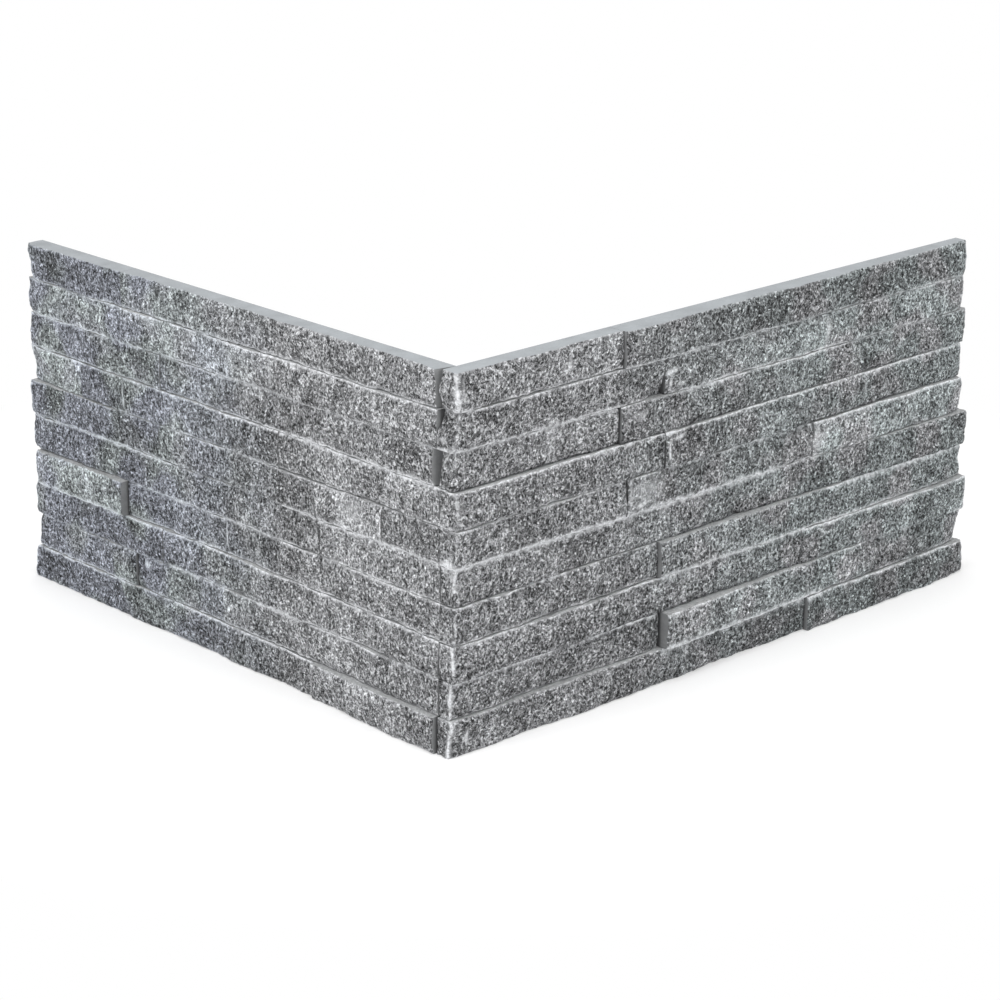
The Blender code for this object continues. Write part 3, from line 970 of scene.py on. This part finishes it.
sawn_bed = sawn("sawn_bed", BED_LEVEL, BED_TINT)
sawn_end = sawn("sawn_end", END_LEVEL, END_TINT, soiled_and_shaded=True)
ledge = sawn("chipped_ledge", LEDGE_LEVEL, LEDGE_TINT, speckle=1.6)

# %% [markdown]
# Every strip now takes the place of its CAD node, which is hidden: it rides on the panel's one
# body, and its name says which node it stands for.

# %% Lay all the strips
triangles = 0
for name in strip_names:
    sheet = Sheet(name)
    mesh = strip_mesh(name, sheet)
    for material in (riven_finish.material, sawn_bed, sawn_end, ledge):
        mesh.materials.append(material)
    stone = bpy.data.objects.new(f"{name}_stone", mesh)
    bpy.context.scene.collection.objects.link(stone)
    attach(stone, "root")
    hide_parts(name)
    mesh.calc_loop_triangles()
    triangles += len(mesh.loop_triangles)
print(len(strip_names), "strips laid,", triangles, "triangles")

# %% [markdown]
# The panel stands on a white table in soft light, as in a catalogue picture. The table looks
# white to the camera only, so it throws no more light on the stone than pale paper would, and
# it keeps the soft shadow at the foot of the panel. A hand's width away from the panel it turns
# into plain white, as a backdrop sheet does when it is lit from behind.

# %% Table and backdrop
TABLE_SIZE = 6.0
TABLE_DROP = 0.2 * MM
TABLE_GREY = (0.80, 0.80, 0.80)
TABLE_GLOW = 0.20
PANEL_MIDDLE = (0.17, 0.16, 0.0)
WHITE_FROM, WHITE_BLEND = 0.36, 0.12
WHITE = (1.0, 1.0, 1.0)

half = TABLE_SIZE / 2
corners = [(x, y, -TABLE_DROP) for x, y in ((-half, -half), (half, -half), (half, half), (-half, half))]
table_mesh = bpy.data.meshes.new("table")
table_mesh.from_pydata(corners, [], [(0, 1, 2, 3)])
table = bpy.data.objects.new("table", table_mesh)
bpy.context.scene.collection.objects.link(table)

paper = Finish("white_paper", 0.9)
paper.shader.inputs["Base Color"].default_value = (*TABLE_GREY, 1.0)
lit_paper = Value(paper, paper.shader.outputs[0])
glow = paper.node("ShaderNodeEmission", {}, {"Color": WHITE, "Strength": TABLE_GLOW})
near_panel = paper.node("ShaderNodeAddShader", {}, {0: lit_paper, 1: glow})
far_off = paper.node("ShaderNodeEmission", {}, {"Color": WHITE, "Strength": 1.0})
from_middle = {0: paper.spot(), 1: PANEL_MIDDLE}
away = paper.node("ShaderNodeVectorMath", {"operation": "DISTANCE"}, from_middle, "Value")
pictured = paper.switch(away.above(WHITE_FROM, WHITE_BLEND), near_panel, far_off)
surface = paper.switch(paper.seen(), lit_paper, pictured)
paper.tree.links.new(surface.socket, paper.tree.nodes["Material Output"].inputs["Surface"])
table_mesh.materials.append(paper.material)
print("table", TABLE_SIZE, "m wide, plain white from", WHITE_FROM, "m on")

# %% [markdown]
# The room gives the stone an even light from all sides, and the camera sees it as white.

# %% Room light
AMBIENT = 0.62

world = bpy.data.worlds.new("studio")
bpy.context.scene.world = world
world.use_nodes = True
world.node_tree.nodes.clear()
studio = Nodes(world.node_tree)
room = studio.node("ShaderNodeBackground", {}, {"Color": WHITE, "Strength": AMBIENT})
backdrop = studio.node("ShaderNodeBackground", {}, {"Color": WHITE, "Strength": 1.0})
light = studio.switch(studio.seen(), room, backdrop)
studio_output = studio.tree.nodes.new("ShaderNodeOutputWorld")
studio.tree.links.new(light.socket, studio_output.inputs["Surface"])
print("room light at", AMBIENT)

# %% [markdown]
# Three large soft lamps light the panel. One hangs over it, so that the ledges between the
# courses catch a thin line of light, and one stands to each side, so that both arms read alike.

# %% Lamps
CENTRE = Vector((0.10, 0.10, 0.09))


def soft_lamp(name, place, size, watts):
    """A square lamp of this size in metres, turned to the middle of the panel."""
    light = bpy.data.lights.new(name, "AREA")
    light.shape = "SQUARE"
    light.size = size
    light.energy = watts
    lamp = bpy.data.objects.new(name, light)
    lamp.location = place
    lamp.rotation_euler = (CENTRE - Vector(place)).to_track_quat("-Z", "Y").to_euler()
    bpy.context.scene.collection.objects.link(lamp)
    print(name, "lamp", watts, "W")


soft_lamp("overhead", (-0.25, -0.25, 1.7), 0.9, 14.0)
soft_lamp("left_front", (-1.5, 0.35, 0.9), 0.8, 9.8)
soft_lamp("right_front", (0.45, -1.5, 0.9), 0.8, 8.0)

# %% [markdown]
# The camera stands in front of the corner and looks slightly down at it, as in the picture.
# Its place and lens come from matching the edges of the real panel.

# %% Camera
CAMERA_PLACE = Vector((-0.84059, -0.92157, 0.54299))
CAMERA_HEADING = math.radians(46.752)
CAMERA_DOWN = math.radians(18.797)
CAMERA_ROLL = math.radians(0.15)
CAMERA_LENS, CAMERA_SENSOR = 107.47, 36.0
CLIP_START = 0.01

lens = bpy.data.cameras.new("camera")
lens.lens = CAMERA_LENS
lens.sensor_width = CAMERA_SENSOR
lens.clip_start = CLIP_START
camera = bpy.data.objects.new("camera", lens)
bpy.context.scene.collection.objects.link(camera)
heading = Vector((
    math.cos(CAMERA_DOWN) * math.cos(CAMERA_HEADING),
    math.cos(CAMERA_DOWN) * math.sin(CAMERA_HEADING),
    -math.sin(CAMERA_DOWN),
))
camera.location = CAMERA_PLACE
camera.rotation_euler = heading.to_track_quat("-Z", "Y").to_euler()
camera.rotation_euler.rotate_axis("Z", CAMERA_ROLL)
bpy.context.scene.camera = camera
bpy.context.scene.view_settings.view_transform = "Standard"
print("camera", round((CENTRE - CAMERA_PLACE).length, 2), "m from the panel")
